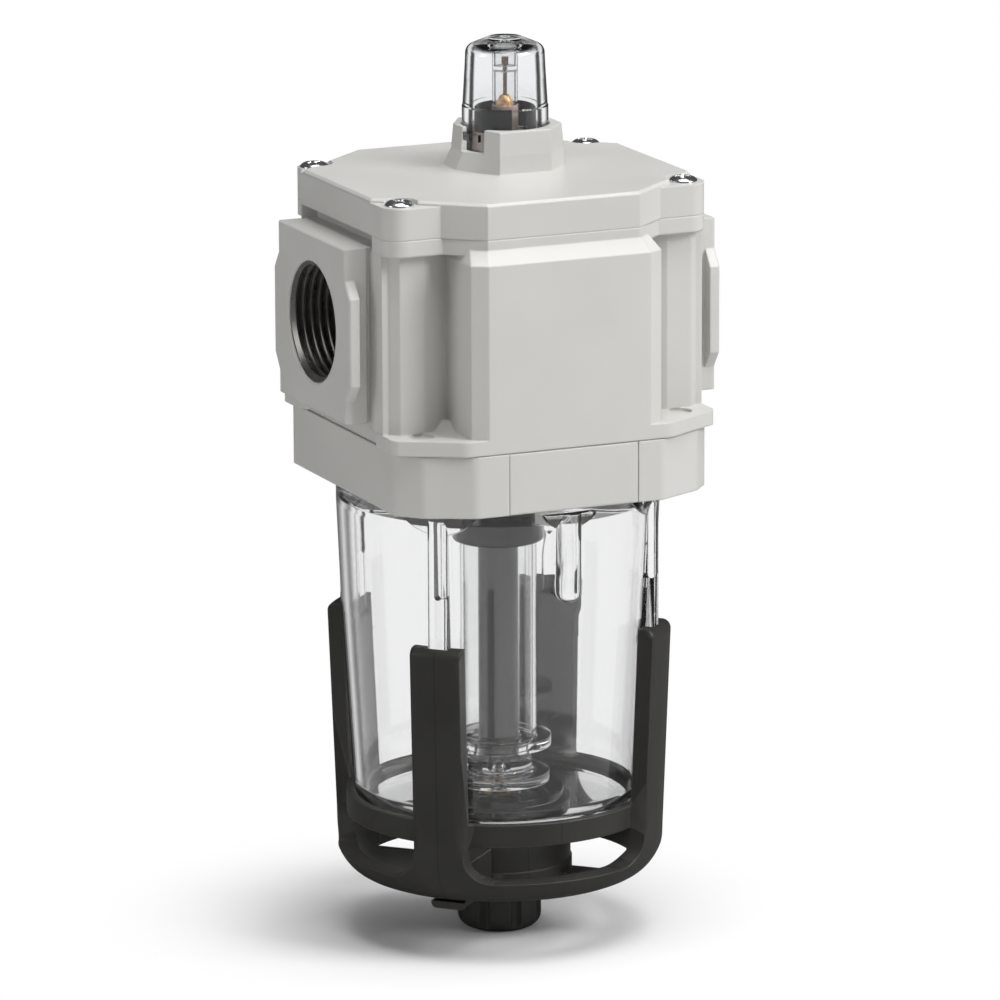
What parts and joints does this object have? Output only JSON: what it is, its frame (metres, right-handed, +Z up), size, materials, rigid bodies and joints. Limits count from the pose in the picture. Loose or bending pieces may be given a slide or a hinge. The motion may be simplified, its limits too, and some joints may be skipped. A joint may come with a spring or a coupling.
{
  "type": "air line lubricator",
  "caption": "Compressed air line lubricator: cast body with threaded ports, clear sight dome on a turret, clear oil bowl in a slotted guard, and a drain knob.",
  "frame": {"origin": "centre of the drain knob's underside, on the bowl's axis", "axes": "+Z up along the bowl's axis, +X the way the air flows through the ports, -Y towards the lock button"},
  "size_m": [0.1094, 0.097, 0.2478],
  "materials": {
    "cast_metal": "satin",
    "cast_plastic": "satin",
    "rubber_black": "matte",
    "plated_steel": "polished",
    "spring_steel": "satin",
    "clear_plastic": "clear",
    "black_plastic": "matte",
    "grey_plastic": "satin",
    "light_plastic": "satin",
    "taupe_plastic": "satin",
    "brass": "polished"
  },
  "bodies": {
    "housing": {"body": "cast_metal", "top_cover": "cast_metal", "cover_gasket": "rubber_black", "cover_screws": "plated_steel", "flow_guide": "grey_plastic", "damper_pin": "spring_steel", "dome_o_ring": "rubber_black", "sight_insert": "taupe_plastic", "dome_ring": "black_plastic", "needle_seat": "brass", "feed_hub": "light_plastic", "pickup_tube": "grey_plastic", "tube_sleeve": "clear_plastic", "pickup_foot": "clear_plastic", "bowl_seal": "rubber_black"},
    "bowl_unit": {"bowl": "clear_plastic", "bowl_collar": "cast_metal", "bowl_guard": "black_plastic", "drain_seat": "clear_plastic", "drain_o_ring": "rubber_black", "lock_spring": "spring_steel"},
    "button": {"lock_button": "cast_plastic"},
    "knob": {"drain_knob": "black_plastic"},
    "stem": {"drain_stem": "brass"},
    "dome": {"sight_dome": "clear_plastic", "drip_tube": "clear_plastic"},
    "metering_needle": {"needle": "brass"},
    "vane": {"damper_vane": "grey_plastic"},
    "ball": {"check_ball": "spring_steel"}
  },
  "joints": [
    {"name": "bowl_turn", "type": "hinge", "parent": "housing", "child": "bowl_unit", "pos_m": [0, 0, 0.1473], "axis": [0, 0, 1], "range_deg": [0, 45]},
    {"name": "lock_press", "type": "slide", "parent": "bowl_unit", "child": "button", "axis": [0, 0, -1], "range_m": [0, 0.0015], "stiffness_N_per_m": 900, "springref_m": -0.002, "deforming": ["lock_spring"]},
    {"name": "drain_turn", "type": "hinge", "parent": "bowl_unit", "child": "knob", "pos_m": [0, 0, 0.008], "axis": [0, 0, 1], "range_deg": [0, 360]},
    {"name": "drain_lift", "type": "slide", "parent": "bowl_unit", "child": "stem", "axis": [0, 0, 1], "range_m": [0, 0.0008]},
    {"name": "dome_turn", "type": "hinge", "parent": "housing", "child": "dome", "pos_m": [0.0057, 0.007, 0.22], "axis": [0, 0, 1], "range_deg": [0, 270]},
    {"name": "needle_rise", "type": "slide", "parent": "housing", "child": "metering_needle", "axis": [0, 0, 1], "range_m": [0, 0.0012]},
    {"name": "vane_swing", "type": "hinge", "parent": "housing", "child": "vane", "pos_m": [0.0019, 0, 0.1842], "axis": [0, -1, 0], "range_deg": [0, 60]},
    {"name": "ball_lift", "type": "slide", "parent": "housing", "child": "ball", "axis": [0, 0, 1], "range_m": [0, 0.002]}
  ],
  "couplings": [
    {"joint": "drain_turn", "follows": "drain_lift", "rad_per_m": 7850},
    {"joint": "dome_turn", "follows": "needle_rise", "rad_per_m": 3925}
  ]
}
